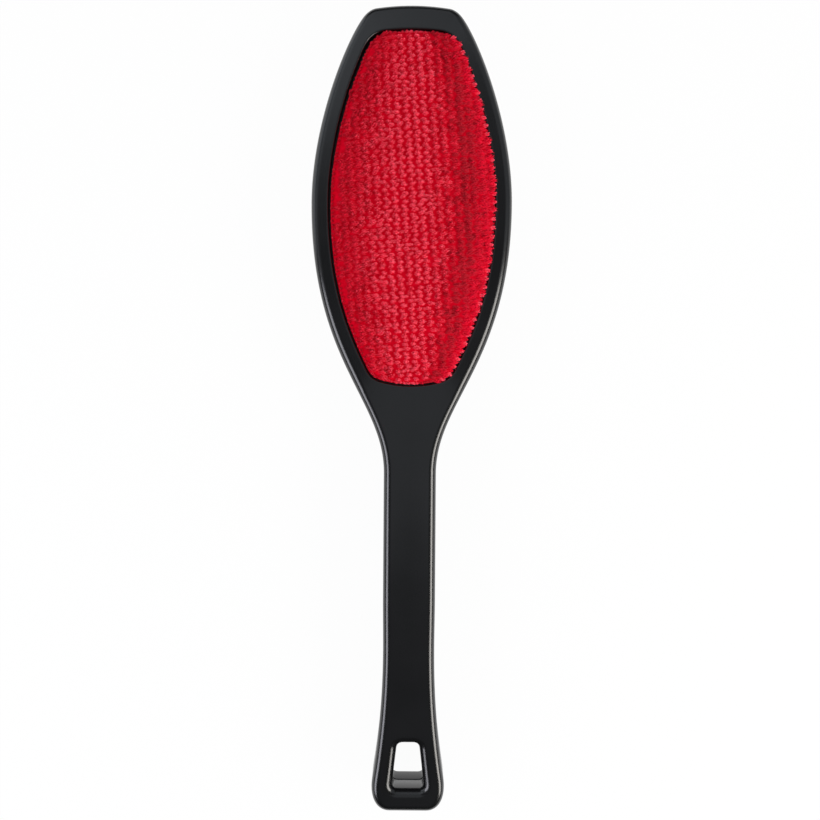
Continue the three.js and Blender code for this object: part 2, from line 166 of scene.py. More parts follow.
# Nap: tufts that step left and right down columns a few degrees off the brush's own axis
NAP_GRAIN_ANGLE = 5.0
COLUMN_PITCH = 2.9
COLUMN_STEP = 0.32
SPARE_COLUMNS = 3
ROW_PITCH = 1.42
SPARE_ROWS = 2
PLACE_SPREAD = 0.1
YAW_SPREAD = 0.2
SIZE_RANGE = (0.9, 1.1)
LYING_GROWTH = 0.22

# Small tufts that bridge two columns
BRIDGE_SHARE = 0.12
BRIDGE_SIZE = 0.7

# Row of tufts round the border: on the right, which starts further across towards the two ends, every
# other one stands out, and the rest are low. The ones that stand out take the standing tone, whose pale tips
# are painted sheen
BORDER_INSET = 0.55
BORDER_ROOM = 0.7
BORDER_END_SLOPE = 6.0
OUTSTANDING_SIZE = 1.0
OUTSTANDING_STANDS = 1.3
OUTSTANDING_TONE = 0.0
LOW_SIZE = 0.6
LOW_STANDS = 0.32

# Tuft: its half widths, how much lower its rim is than its middle, how far its roots reach into the cloth,
# and the two sorts of it
TUFT_ACROSS = 0.65
TUFT_ALONG = 0.42
TUFT_DOME = 0.28
ROOT_DEPTH = 0.3
TUFT_KINDS = 10
STANDING_TUFT = {"lean": 0.7, "height": 1.2, "fan": 0.4, "tone_spread": 0.11}
BRUSHED_TUFT = {"lean": 1.2, "height": 0.9, "fan": 0.5, "tone_spread": 0.04}

# Rings of strands in a tuft: how many, how far out, and whether they are bent or straight
STRAND_RINGS = ((1, 0.0, True), (4, 0.5, True), (7, 0.85, False), (9, 1.1, False))

# Strand: its shape, where a bent one bends, and how much one differs from the next
STRAND_SIDES = 3
STRAND_RADIUS = 0.25
BEND_REACH = 0.85
BEND_RISE = 0.9
TURN_SPREAD = 0.25
HEIGHT_RANGE = (0.9, 1.1)
LEAN_RANGE = (0.8, 1.2)
SIDEWAYS_SPREAD = 0.15
RADIUS_RANGE = (0.85, 1.1)

# The nap from its left edge (-1) to its right edge (1): how much it stands up, and its tone, which paints the
# nap's light and shade across the pad. The tone runs from standing (0), the palest, over brushed, painted
# darker as shade of the lying nap, and the shaded band, painted shade where the nap turns from the light, to
# bright (1), painted light on the right edge. The left edge leans a little towards the shaded band, as
# painted shadow of the rim
NAP_ACROSS = (-1.0, -0.85, -0.75, -0.65, -0.45, -0.27, 0.15, 0.31, 0.41, 0.51, 0.61, 0.71, 0.81, 0.92)
NAP_STANDS = (0.05, 0.05, 0.15, 0.38, 0.72, 1.0, 1.0, 0.8, 0.65, 0.4, 0.2, 0.15, 0.1, 0.1)
NAP_TONE = (0.54, 0.54, 0.48, 0.4, 0.27, 0.1, 0.1, 0.27, 0.4, 0.58, 0.73, 0.8, 0.93, 1.0)
BRUSHED_AND_SHADED_TONE = 0.5
SHADED_BAND_TONE = 0.75
LEAST_HALF = 1.0

# How much the tone falls per millimetre down the pad, as painted light and shade that makes the pad paler
# towards its bottom and darker towards its top, and how far across it does so, how much tufts differ in tone,
# lying and when they stand up, and the margin kept at both ends of the tones
TONE_FALL = 0.001
TONE_FALL_END = 0.45
LYING_TONE_SPREAD = 0.03
STANDING_TONE_SPREAD = 0.05
TONE_MARGIN = 0.01

WELD = 1e-4


def flat(x, y):
    return Vector((x, y, 0.0))


def along(start, heading, distance):
    """A point reached by a heading measured from straight down the brush towards +X."""
    turn = math.radians(heading)
    return start + distance * flat(math.sin(turn), -math.cos(turn))


def bent(start, tip, end, steps):
    """A round stretch between two points, drawn towards a tip."""
    return interpolate_bezier(start, start.lerp(tip, 2 / 3), end.lerp(tip, 2 / 3), end, steps)


def chain(*spans):
    """Spans that follow each other, as one run of points."""
    run = list(spans[0])
    for span in spans[1:]:
        run.extend(span[1:])
    return run


def moved_in(side, distance):
    """A right-hand side that runs downwards, moved towards the inside by a distance."""
    moved = []
    for i, point in enumerate(side):
        ahead = side[min(i + 1, len(side) - 1)] - side[max(i - 1, 0)]
        ahead.normalize()
        moved.append(flat(point.x + distance * ahead.y, point.y - distance * ahead.x))
    for end in (0, -1):
        if abs(side[end].x) < WELD:
            inward = 1 if end else -1
            moved[end] = flat(0, side[end].y + inward * distance)
    return moved


def body_flanks():
    """The head's right flank from the shoulder over the widest point to the neck."""
    shoulder = flat(TOP_WIDTH / 2, TOP_Y - SHOULDER_DROP)
    widest = flat(HEAD_HALF, TOP_Y - WIDEST_FROM_TOP)
    neck = flat(HANDLE_WIDTH / 2, TOP_Y - NECK_FROM_TOP)
    upper_drop = shoulder.y - widest.y
    lower_drop = widest.y - neck.y
    upper = interpolate_bezier(
        shoulder,
        along(shoulder, SHOULDER_ANGLE, SHOULDER_FULLNESS * upper_drop),
        along(widest, 180, UPPER_FLANK_FULLNESS * upper_drop),
        widest,
        UPPER_FLANK_STEPS,
    )
    lower = interpolate_bezier(
        widest,
        along(widest, 0, LOWER_FLANK_FULLNESS * lower_drop),
        along(neck, 180, NECK_FULLNESS * lower_drop),
        neck,
        LOWER_FLANK_STEPS,
    )
    return chain(upper, lower)


def body_side():
    """The body's right side from the middle of its top to the middle of its butt."""
    top_middle = flat(0, TOP_Y)
    top_corner = flat(TOP_WIDTH / 2 - TOP_CORNER, TOP_Y - TOP_BOW)
    top_control = flat(top_corner.x / 2, TOP_Y)
    flanks = body_flanks()
    shoulder, neck = flanks[0], flanks[-1]
    handle = TOP_CORNER_FULLNESS * (shoulder - top_corner).length
    top_round = interpolate_bezier(
        top_corner,
        top_corner + handle * (top_corner - top_control).normalized(),
        along(shoulder, SHOULDER_ANGLE + 180, handle),
        shoulder,
        TOP_CORNER_STEPS,
    )
    butt_corner = flat(BUTT_WIDTH / 2, BUTT_Y + BUTT_CORNER)
    grip_end = flat(neck.x, butt_corner.y + FLARE_LENGTH)
    butt_flat = flat(BUTT_FLAT / 2, BUTT_Y)
    flare = interpolate_bezier(
        grip_end,
        along(grip_end, 0, GRIP_FULLNESS * FLARE_LENGTH),
        along(butt_corner, FLARE_ANGLE + 180, FLARE_FULLNESS * FLARE_LENGTH),
        butt_corner,
        FLARE_STEPS,
    )
    end_x = butt_flat.x + BUTT_END_FULLNESS * (butt_corner.x - butt_flat.x)
    butt_round = interpolate_bezier(
        butt_corner,
        along(butt_corner, FLARE_ANGLE, BUTT_SIDE_FULLNESS * BUTT_CORNER),
        flat(end_x, BUTT_Y),
        butt_flat,
        BUTT_STEPS,
    )
    return chain(
        bent(top_middle, top_control, top_corner, TOP_STEPS),
        top_round,
        flanks,
        [neck, grip_end],
        flare,
        butt_round,
        [butt_flat, flat(0, BUTT_Y)],
    )


def window_side():
    """The pad window's right side: it follows the flank at the rim's width, and its ends bow outwards."""
    rim = moved_in(body_flanks(), RIM_WIDTH)
    rim_ys = [p.y for p in reversed(rim)]
    rim_xs = [p.x for p in reversed(rim)]

    def on_rim(y):
        return flat(float(np.interp(y, rim_ys, rim_xs)), y)

    def end(end_y, bow, round_size, towards_middle):
        corner = on_rim(end_y + towards_middle * bow)
        edge_x = corner.x - round_size
        edge = flat(edge_x, end_y + towards_middle * bow * (edge_x / corner.x) ** 2)
        side = on_rim(corner.y + towards_middle * round_size)
        bow_line = bent(flat(0, end_y), flat(edge_x / 2, end_y), edge, WINDOW_STEPS)
        return chain(bow_line, bent(edge, corner, side, WINDOW_STEPS))

    top_y = TOP_Y - TOP_RIM
    upper_end = end(top_y, WINDOW_TOP_BOW, WINDOW_TOP_CORNER, -1)
    lower_end = end(top_y - WINDOW_LENGTH, WINDOW_BOTTOM_BOW, WINDOW_BOTTOM_CORNER, 1)[::-1]
    between = [p for p in rim if lower_end[0].y + WINDOW_JOIN < p.y < upper_end[-1].y - WINDOW_JOIN]
    return [*upper_end, *between, *lower_end]


def hole_side():
    """The hang hole's right side."""
    bottom_y = BUTT_Y + HOLE_FROM_BUTT
    top_corner = flat(HOLE_TOP_WIDTH / 2, bottom_y + HOLE_LENGTH)
    bottom_corner = flat(HOLE_BOTTOM_WIDTH / 2, bottom_y)
    slope = (bottom_corner - top_corner).normalized()
    top_in = top_corner + flat(-HOLE_CORNER, 0)
    top_down = top_corner + HOLE_CORNER * slope
    bottom_up = bottom_corner - HOLE_CORNER * slope
    bottom_in = bottom_corner + flat(-HOLE_CORNER, 0)
    return chain(
        [flat(0, top_corner.y), top_in],
        bent(top_in, top_corner, top_down, HOLE_STEPS),
        [top_down, bottom_up],
        bent(bottom_up, bottom_corner, bottom_in, HOLE_STEPS),
        [bottom_in, flat(0, bottom_y)],
    )


def mirrored(side):
    """A closed run of points from a right side and its mirror image."""
    return [*side, *(flat(-p.x, p.y) for p in reversed(side[1:-1]))]


def evenly(loop, pitch):
    """Points at an even pitch round a closed loop."""
    ends = [*loop[1:], loop[0]]
    run = [0.0]
    for here, there in zip(loop, ends):
        run.append(run[-1] + (there - here).length)
    count = round(run[-1] / pitch)
    stops = [run[-1] * i / count for i in range(count)]
    xs = np.interp(stops, run, [p.x for p in [*loop, loop[0]]])
    ys = np.interp(stops, run, [p.y for p in [*loop, loop[0]]])
    return [flat(float(x), float(y)) for x, y in zip(xs, ys)]


def verts_of(made):
    return [v for v in made["geom"] if isinstance(v, bmesh.types.BMVert)]


def edges_of(made):
    return [e for e in made["geom"] if isinstance(e, bmesh.types.BMEdge)]


def open_rims(bm):
    """The open boundaries of a skin as lists of edges, longest first."""
    waiting = dict.fromkeys(e for e in bm.edges if e.is_boundary)
    rims = []
    while waiting:
        reached = [next(iter(waiting))]
        del waiting[reached[0]]
        for edge in reached:
            for neighbour in (e for v in edge.verts for e in v.link_edges):
                if neighbour in waiting:
                    del waiting[neighbour]
                    reached.append(neighbour)
        rims.append(reached)
    return sorted(rims, key=lambda rim: -sum(e.calc_length() for e in rim))


def finish_piece(name, bm, material, turned_over):
    """A named piece in metres at its place in the row frame."""
    turn = Matrix.Rotation(math.pi, 4, "Y") if turned_over else Matrix.Identity(4)
    place = Matrix.Translation((0, 0, MIDDLE_HEIGHT)) @ Matrix.Scale(MM, 4) @ turn
    bmesh.ops.transform(bm, matrix=place, verts=bm.verts)
    mesh = bpy.data.meshes.new(name)
    bm.to_mesh(mesh)
    bm.free()
    mesh.shade_smooth()
    mesh.materials.append(material)
    piece = bpy.data.objects.new(name, mesh)
    bpy.context.scene.collection.objects.link(piece)
    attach(piece, "root")
    return piece


# Half shells


def rounded(bm, edges, radius, strips):
    """Round some edges over, and give back the faces of the round."""
    return bmesh.ops.bevel(
        bm,
        geom=edges,
        offset=radius,
        segments=strips,
        profile=0.5,
        affect="EDGES",
        material=-1,
        clamp_overlap=False,
    )["faces"]


def lower_rim(bm):
    """Let the rim fall from the pad window to its outer edge, dying out towards the neck."""
    window = evenly(mirrored(window_side()), FALL_PITCH)
    near = KDTree(len(window))
    for i, point in enumerate(window):
        near.insert(point, i)
    near.balance()
    for vert in bm.verts:
        x, y, z = vert.co
        away = min(near.find(flat(x, y))[2] / RIM_WIDTH, 1.0)
        share = min(max((y - FALL_FROM_Y) / (FALL_FULL_Y - FALL_FROM_Y), 0.0), 1.0)
        height = max(z - HALF_SEAM, 0.0) / (FACE_Z - HALF_SEAM)
        vert.co.z -= RIM_FALL * away * share**2 * (3 - 2 * share) * height


def half_shell():
    """The front half of the body: a face with walls down to the seam and the bezel's foot, then hollowed."""
    bm = bmesh.new()
    polish = bm.verts.layers.float.new("polish")
    right_half = [*body_side(), *reversed(hole_side()), *reversed(window_side())]
    bm.faces.new([bm.verts.new((p.x, p.y, FACE_Z)) for p in right_half])
    bmesh.ops.mirror(bm, geom=[*bm.verts, *bm.edges, *bm.faces], axis="X", merge_dist=WELD)
    outer, inner, slot = open_rims(bm)
    for rim, foot_z in ((outer, HALF_SEAM), (inner, FACE_Z - BEZEL_DEPTH), (slot, HALF_SEAM)):
        wall = bmesh.ops.extrude_edge_only(bm, edges=rim)
        bmesh.ops.translate(bm, verts=verts_of(wall), vec=(0, 0, foot_z - FACE_Z))
    seam, _, slot_seam = open_rims(bm)
    bmesh.ops.recalc_face_normals(bm, faces=bm.faces)
    bmesh.ops.solidify(bm, geom=bm.faces[:], thickness=WALL)
    bmesh.ops.recalc_face_normals(bm, faces=bm.faces)
    edges = rounded(bm, outer, EDGE_ROUND, EDGE_STRIPS)
    edges += rounded(bm, slot, HOLE_ROUND, HOLE_STRIPS)
    rounded(bm, inner, WINDOW_ROUND, WINDOW_STRIPS)
    rounded(bm, [*seam, *slot_seam], SEAM_CHAMFER, SEAM_STRIPS)
    on_top = [f for f in bm.faces if f.calc_center_median().z > FACE_Z - WELD]
    faces = [f for f in on_top if len(f.verts) > FACE_LEAST_CORNERS]
    bmesh.ops.inset_region(bm, faces=faces, thickness=FACE_BORDER, use_even_offset=True)
    bmesh.ops.triangulate(bm, faces=faces, ngon_method="BEAUTY")
    lower_rim(bm)
    bm.normal_update()
    for vert in dict.fromkeys(v for f in edges for v in f.verts):
        vert[polish] = min(max((POLISH_START - vert.normal.z) / POLISH_RANGE, 0.0), 1.0)
    return bm


# Pads

pad_middle = flat(0, TOP_Y - TOP_RIM - WINDOW_LENGTH / 2)
cloth_side = moved_in(window_side(), PAD_GAP)
cloth_edge_z = FACE_Z - PAD_EDGE_DROP
bezel_foot_z = FACE_Z - BEZEL_DEPTH


def crowned_sheet(side, edge_z):
    """A sheet that swells from its edge to its middle, ring by ring."""
    bm = bmesh.new()
    loop = [bm.verts.new((p.x, p.y, edge_z)) for p in mirrored(side)]
    edges = [bm.edges.new(pair) for pair in zip(loop, loop[1:] + loop[:1])]
    about = Matrix.Translation(-pad_middle)
    share, height = 1.0, 0.0
    for ring in range(1, CROWN_RINGS + 1):
        next_share = 1 - ring / (CROWN_RINGS + CROWN_MIDDLE)
        next_height = PAD_CROWN * (1 - next_share**CROWN_POWER)
        grown = bmesh.ops.extrude_edge_only(bm, edges=edges)
        verts = verts_of(grown)
        shrink = next_share / share
        bmesh.ops.scale(bm, vec=(shrink, shrink, 1), space=about, verts=verts)
        bmesh.ops.translate(bm, vec=(0, 0, next_height - height), verts=verts)
        share, height = next_share, next_height
        new = set(verts)
        edges = [e for e in edges_of(grown) if new.issuperset(e.verts)]
    bmesh.ops.pointmerge(bm, verts=verts, merge_co=pad_middle + Vector((0, 0, edge_z + PAD_CROWN)))
    return bm


def set_askew(bm):
    """Set a piece of the pad a little askew in its window, as it was glued in."""
    bmesh.ops.rotate(bm, cent=pad_middle, matrix=Matrix.Rotation(PAD_TURN, 3, "Z"), verts=bm.verts)
    bmesh.ops.translate(bm, vec=(PAD_SHIFT, 0, 0), verts=bm.verts)


def sponge_underlay():
    """The sponge under the cloth: a crowned slab."""
    depth = CLOTH_THICKNESS + FOAM_GAP
    bm = crowned_sheet(moved_in(cloth_side, depth), cloth_edge_z - depth)
    bmesh.ops.recalc_face_normals(bm, faces=bm.faces)
    bmesh.ops.solidify(bm, geom=[*bm.verts, *bm.edges, *bm.faces], thickness=FOAM_THICKNESS)
    return bm


def nap_ground():
    """The nap's ground cloth: a crowned cap with a skirt turned down to the carrier's flange."""
    bm = crowned_sheet(cloth_side, cloth_edge_z)
    edge = open_rims(bm)[0]
    skirt = bmesh.ops.extrude_edge_only(bm, edges=edge)
    bmesh.ops.translate(bm, verts=verts_of(skirt), vec=(0, 0, bezel_foot_z - cloth_edge_z))
    rounded(bm, edge, CLOTH_ROUND, CLOTH_STRIPS)
    bmesh.ops.recalc_face_normals(bm, faces=bm.faces)
    return bm


def strand(bm, marks, shade, path, radius, spin):
    """One tapered fibre bundle, marked with its tone and the height along it."""
    tone, level = marks
    start = Matrix.Translation(path[0]) @ Matrix.Rotation(spin, 4, "Z")
    circle = bmesh.ops.create_circle(bm, cap_ends=False, segments=STRAND_SIDES, radius=radius, matrix=start)
    ring = circle["verts"]
    edges = list(dict.fromkeys(e for v in ring for e in v.link_edges))
    for vert in ring:
        vert[tone] = shade
    for step in range(1, len(path)):
        grown = bmesh.ops.extrude_edge_only(bm, edges=edges)
        ring = verts_of(grown)
        bmesh.ops.translate(bm, vec=path[step] - path[step - 1], verts=ring)
        for vert in ring:
            vert[tone] = shade
            vert[level] = step / (len(path) - 1)
        new = set(ring)
        edges = [e for e in edges_of(grown) if new.issuperset(e.verts)]
    bmesh.ops.pointmerge(bm, verts=ring, merge_co=path[-1])


def tuft(rng, lean, height, fan, tone_spread):
    """One tuft that leans towards +X: a domed bundle of strands whose tips fan out."""
    bm = bmesh.new()
    tone = bm.verts.layers.float.new("tone")
    level = bm.verts.layers.float.new("level")
    for count, out, bent_strand in STRAND_RINGS:
        for i in range(count):
            turn = 2 * math.pi * (i + rng.uniform(-TURN_SPREAD, TURN_SPREAD)) / count
            spot = flat(TUFT_ACROSS * out * math.cos(turn), TUFT_ALONG * out * math.sin(turn))
            root = spot - Vector((0, 0, ROOT_DEPTH))
            dome = 1 - TUFT_DOME * out**2
            rise = Vector((0, 0, height * dome * rng.uniform(*HEIGHT_RANGE) + ROOT_DEPTH))
            reach = flat(lean * rng.uniform(*LEAN_RANGE), rng.gauss(0, SIDEWAYS_SPREAD)) + fan * spot
            path = [root, root + reach + rise]
            if bent_strand:
                path.insert(1, root + BEND_REACH * reach + BEND_RISE * rise)
            radius = STRAND_RADIUS * rng.uniform(*RADIUS_RANGE)
            shade = rng.gauss(0, tone_spread)
            strand(bm, (tone, level), shade, path, radius, rng.uniform(0, math.pi))
    bmesh.ops.recalc_face_normals(bm, faces=bm.faces)
    uv = bm.loops.layers.uv.new("OFBake")
    for loop in (corner for f in bm.faces for corner in f.loops):
        loop[uv].uv = (loop.vert[tone], loop.vert[level])
    mesh = bpy.data.meshes.new("tuft")
    bm.to_mesh(mesh)
    bm.free()
    return mesh


cloth_ys = [p.y for p in reversed(cloth_side)]
cloth_xs = [p.x for p in reversed(cloth_side)]


def nap_lie(place, direction):
    """How much the nap stands up at a place, and its tone there, which paints the nap's light and shade."""
    half = max(float(np.interp(place.y, cloth_ys, cloth_xs)), LEAST_HALF)
    across = direction * place.x / half
    stands = float(np.interp(across, NAP_ACROSS, NAP_STANDS))
    tone = float(np.interp(across, NAP_ACROSS, NAP_TONE))
    # Painted light and shade down the pad: paler towards the bottom, darker towards the top
    if across < TONE_FALL_END:
        tone -= TONE_FALL * (pad_middle.y - place.y)
    return stands, tone


def border_tufts(rng, border, direction):
    """The row of tufts round the border."""
    for i, place in enumerate(border):
        yaw = rng.gauss(0, YAW_SPREAD)
        end_room = BORDER_ROOM + abs(place.y - pad_middle.y) / BORDER_END_SLOPE
        if direction * place.x > end_room and i % 2:
            yield place, yaw, OUTSTANDING_SIZE, OUTSTANDING_STANDS, OUTSTANDING_TONE
        else:
            _, tone = nap_lie(place, direction)
            yield place, yaw, LOW_SIZE, LOW_STANDS, tone


def column_tufts(rng, border, direction):
    """The tufts in columns inside the border, which small tufts bridge here and there."""
    grain = Matrix.Rotation(direction * math.radians(NAP_GRAIN_ANGLE), 3, "Z")
    rows = math.ceil(WINDOW_LENGTH / 2 / ROW_PITCH) + SPARE_ROWS
    columns = math.ceil(HEAD_HALF / COLUMN_PITCH) + SPARE_COLUMNS
    for column in range(-columns, columns + 1):
        for row in range(-rows, rows + 1):
            step = COLUMN_STEP if row % 2 else -COLUMN_STEP
            spots = [(column * COLUMN_PITCH + step, 1.0)]
            if rng.random() < BRIDGE_SHARE:
                spots.append(((column + 0.5) * COLUMN_PITCH, BRIDGE_SIZE))
            for across, size in spots:
                jitter = flat(rng.gauss(0, PLACE_SPREAD), rng.gauss(0, PLACE_SPREAD))
                place = pad_middle + grain @ (flat(across, row * ROW_PITCH) + jitter)
                if min((place - p).length for p in border) > BORDER_ROOM:
                    stands, tone = nap_lie(place, direction)
                    yield place, rng.gauss(0, YAW_SPREAD), size, stands, tone


def nap_places(rng, direction):
    """Each tuft's place, turn and size, how much it stands up and its tone."""
    border = evenly(mirrored(moved_in(cloth_side, BORDER_INSET)), ROW_PITCH)
    return [*border_tufts(rng, border, direction), *column_tufts(rng, border, direction)]


def map_values(mesh):
    """The tone and height at each corner of a tuft, one after the other."""
    values = np.zeros(2 * len(mesh.loops), np.float32)
    mesh.uv_layers["OFBake"].uv.foreach_get("vector", values)
    return values


def nap_pile(ground, direction, seed):
    """The nap's tufts, all leaning one way across the brush."""
    rng = random.Random(seed)
    standing = [tuft(rng, **STANDING_TUFT) for _ in range(TUFT_KINDS)]
    brushed = [tuft(rng, **BRUSHED_TUFT) for _ in range(TUFT_KINDS)]
    maps = {kind: map_values(kind) for kind in (*standing, *brushed)}
    tree = BVHTree.FromBMesh(ground)
    bm = bmesh.new()
    up = Vector((0, 0, 1))
    above_crown = 3 * FACE_Z
    for place, yaw, size, stands, tone in nap_places(rng, direction):
        hit, normal, _, _ = tree.ray_cast(place + above_crown * up, -up)
        if hit is None:
            continue
        kind = rng.choice(standing if rng.random() < stands else brushed)
        size *= rng.uniform(*SIZE_RANGE) * (1 + LYING_GROWTH * max(1 - stands, 0))
        tilt = up.rotation_difference(normal).to_matrix().to_4x4()
        turn = Matrix.Rotation(yaw + (0 if direction > 0 else math.pi), 4, "Z")
        copy = kind.copy()
        copy.transform(Matrix.Translation(hit) @ tilt @ turn @ Matrix.Scale(size, 4))
        shade = tone + rng.gauss(0, LYING_TONE_SPREAD + STANDING_TONE_SPREAD * stands)
        values = maps[kind].copy()
        values[::2] = np.clip(values[::2] + shade, TONE_MARGIN, 1 - TONE_MARGIN)
        copy.uv_layers["OFBake"].uv.foreach_set("vector", values)
        bm.from_mesh(copy)
        bpy.data.meshes.remove(copy)
    for mesh in (*standing, *brushed):
        bpy.data.meshes.remove(mesh)
    return bm


# Materials


def new_material(name):
    material = bpy.data.materials.new(name)
    material.use_nodes = True
    shader = material.node_tree.nodes["Principled BSDF"]
    return material, material.node_tree, shader


def node(tree, kind, **settings):
    made = tree.nodes.new(kind)
    for key, value in settings.items():
        setattr(made, key, value)
    return made


def noise(tree, coordinates, scale, detail=2.0):
    made = node(tree, "ShaderNodeTexNoise")
    made.inputs["Scale"].default_value = scale
    made.inputs["Detail"].default_value = detail
    tree.links.new(coordinates, made.inputs["Vector"])
    return made.outputs["Fac"]


def object_coordinates(tree):
    return node(tree, "ShaderNodeTexCoord").outputs["Object"]


def ramp(tree, factor, *stops):
    """Colours that follow a factor."""
    made = node(tree, "ShaderNodeValToRGB")
    elements = made.color_ramp.elements
    while len(elements) < len(stops):
        elements.new(0.5)
    for element, (position, colour) in zip(elements, stops):
        element.position = position
        element.color = (*colour, 1)
    tree.links.new(factor, made.inputs["Fac"])
    return made.outputs["Color"]


def spread(tree, factor, low, high, between=(0.0, 1.0)):
    """A value that runs from low to high while the factor runs between two others."""
    made = node(tree, "ShaderNodeMapRange")
    made.inputs["From Min"].default_value, made.inputs["From Max"].default_value = between
    made.inputs["To Min"].default_value = low
    made.inputs["To Max"].default_value = high
    tree.links.new(factor, made.inputs["Value"])
    return made.outputs["Result"]


# Where a mix node takes its two values and gives its result, for each type of value
MIX_SOCKETS = {"FLOAT": (2, 3, 0), "RGBA": (6, 7, 2)}


def blend(tree, factor, first, second, data_type="FLOAT"):
    """A mix of two values, each fixed or from another node."""
    made = node(tree, "ShaderNodeMix", data_type=data_type)
    first_in, second_in, out = MIX_SOCKETS[data_type]
    tree.links.new(factor, made.inputs[0])
    for index, value in ((first_in, first), (second_in, second)):
        if hasattr(value, "is_linked"):
            tree.links.new(value, made.inputs[index])
        else:
            made.inputs[index].default_value = value
    return made.outputs[out]


def bump(tree, shader, height, strength, distance):
    made = node(tree, "ShaderNodeBump")
    made.inputs["Strength"].default_value = strength
    made.inputs["Distance"].default_value = distance
    tree.links.new(height, made.inputs["Height"])
    tree.links.new(made.outputs["Normal"], shader.inputs["Normal"])


def black_plastic():
    """Satin moulded black plastic with a fine grain, polished by handling along its rounded edges."""
    material, tree, shader = new_material("black_plastic")
    where = object_coordinates(tree)
    cloud = noise(tree, where, scale=45, detail=3)
    grain = noise(tree, where, scale=2600)
    polish = node(tree, "ShaderNodeAttribute", attribute_name="polish").outputs["Fac"]
    colour = ramp(tree, cloud, (0.3, (0.0036, 0.0037, 0.0042)), (0.7, (0.0055, 0.0056, 0.0063)))
    tree.links.new(colour, shader.inputs["Base Color"])
    roughness = blend(tree, polish, first=spread(tree, cloud, low=0.21, high=0.25), second=0.2)
    tree.links.new(roughness, shader.inputs["Roughness"])
    shader.inputs["Specular IOR Level"].default_value = 0.75
    height = blend(tree, polish, first=grain, second=0.5)
    bump(tree, shader, height, strength=0.12, distance=0.00004)
    return material


def plate_plastic():
    """Plain moulded dark plastic with a dull ground finish."""
    material, tree, shader = new_material("plate_plastic")
    where = object_coordinates(tree)
    cloud = noise(tree, where, scale=60, detail=3)
    colour = ramp(tree, cloud, (0.3, (0.024, 0.024, 0.026)), (0.7, (0.038, 0.038, 0.041)))
    tree.links.new(colour, shader.inputs["Base Color"])
    tree.links.new(spread(tree, cloud, low=0.5, high=0.65), shader.inputs["Roughness"])
    bump(tree, shader, noise(tree, where, scale=1800), strength=0.2, distance=0.00005)
    return material


def sponge():
    """Grey open-cell sponge, with painted shade in its pores."""
    material, tree, shader = new_material("grey_sponge")
    where = object_coordinates(tree)
    cells = node(tree, "ShaderNodeTexVoronoi")
    cells.inputs["Scale"].default_value = 1400
    tree.links.new(where, cells.inputs["Vector"])
    # Painted shade: the pits of the cells, where the bump sinks, are painted darker
    colour = ramp(tree, cells.outputs["Distance"], (0.1, (0.09, 0.09, 0.085)), (0.55, (0.3, 0.3, 0.29)))
    tree.links.new(colour, shader.inputs["Base Color"])
    shader.inputs["Roughness"].default_value = 0.95
    bump(tree, shader, cells.outputs["Distance"], strength=0.6, distance=0.0003)
    return material


def red_ground():
    """Dark red knitted ground of the nap, darker in the hollows of its knit."""
    material, tree, shader = new_material("red_ground")
    where = object_coordinates(tree)
    knit = noise(tree, where, scale=900)
    # Darker where the bump sinks: partly the knit's own tone, partly painted shade in its hollows
    colour = ramp(tree, knit, (0.3, (0.48, 0.0006, 0.01)), (0.7, (0.63, 0.0014, 0.016)))
    tree.links.new(colour, shader.inputs["Base Color"])
    shader.inputs["Roughness"].default_value = 0.9
    shader.inputs["Specular IOR Level"].default_value = 0.02
    bump(tree, shader, knit, strength=0.5, distance=0.0002)
    return material


def red_nap():
    """Red nap fibre, painted dark at its root as shade deep in the pile, and paler at its tip as painted
    sheen.

    The piece's own map holds each strand's tone and the height along it. The tone paints the nap's light and
    shade
    across the pad: standing is the palest, brushed is darker, the band is painted shade, and bright is
    painted light.
    """
    material, tree, shader = new_material("red_nap")
    place = node(tree, "ShaderNodeSeparateXYZ")
    tree.links.new(node(tree, "ShaderNodeUVMap", uv_map="OFBake").outputs["UV"], place.inputs["Vector"])
    tone, height = place.outputs["X"], place.outputs["Y"]
    # Painted shade: the band where the nap turns from the light is painted a duller, darker red
    shaded_band = ramp(
        tree,
        height,
        (0.0, (0.38, 0.0014, 0.01)),
        (0.5, (0.42, 0.008, 0.02)),
        (1.0, (0.48, 0.036, 0.05)),
    )
    # Painted shade of the lying nap: brushed tufts are painted darker and deeper red
    brushed = ramp(
        tree,
        height,
        (0.0, (0.46, 0.001, 0.0115)),
        (0.5, (0.7, 0.006, 0.027)),
        (1.0, (0.79, 0.029, 0.056)),
    )
    # Painted light: the right edge of the pad is painted a brighter red
    bright = ramp(
        tree,
        height,
        (0.0, (0.46, 0.0006, 0.012)),
        (0.5, (0.77, 0.004, 0.028)),
        (1.0, (0.87, 0.022, 0.056)),
    )
    # Standing nap, the palest, with its pinker tips painted sheen
    standing = ramp(
        tree,
        height,
        (0.0, (0.56, 0.001, 0.014)),
        (0.5, (1.0, 0.042, 0.09)),
        (1.0, (1.0, 0.22, 0.3)),
    )
    steps = (
        ((0.0, BRUSHED_AND_SHADED_TONE), brushed),
        ((BRUSHED_AND_SHADED_TONE, SHADED_BAND_TONE), shaded_band),
        ((SHADED_BAND_TONE, 1.0), bright),
    )
    colour = standing
    for between, next_colour in steps:
        share = spread(tree, tone, low=0.0, high=1.0, between=between)
        colour = blend(tree, share, colour, next_colour, "RGBA")
    tree.links.new(colour, shader.inputs["Base Color"])
    shader.inputs["Roughness"].default_value = 0.8
    shader.inputs["Specular IOR Level"].default_value = 0.02
    return material


# Stage

CAMERA_HEIGHT = 0.290
CAMERA_VIEW = 0.2756
CAMERA_VIEW_PLANE = 0.006
CAMERA_OFFSET = (-0.0001, -0.00075)
CAMERA_ROLL = math.radians(0.4)
SENSOR_WIDTH = 36.0

FLOOR_HALF = 4.0
FLOOR_DROP = 0.0002
FLOOR_GREY = (0.75, 0.75, 0.75, 1)

WARM = (1.0, 0.97, 0.92)
COOL = (0.92, 0.92, 1.0)
PALE_BLUE = (0.87, 0.93, 1.0)

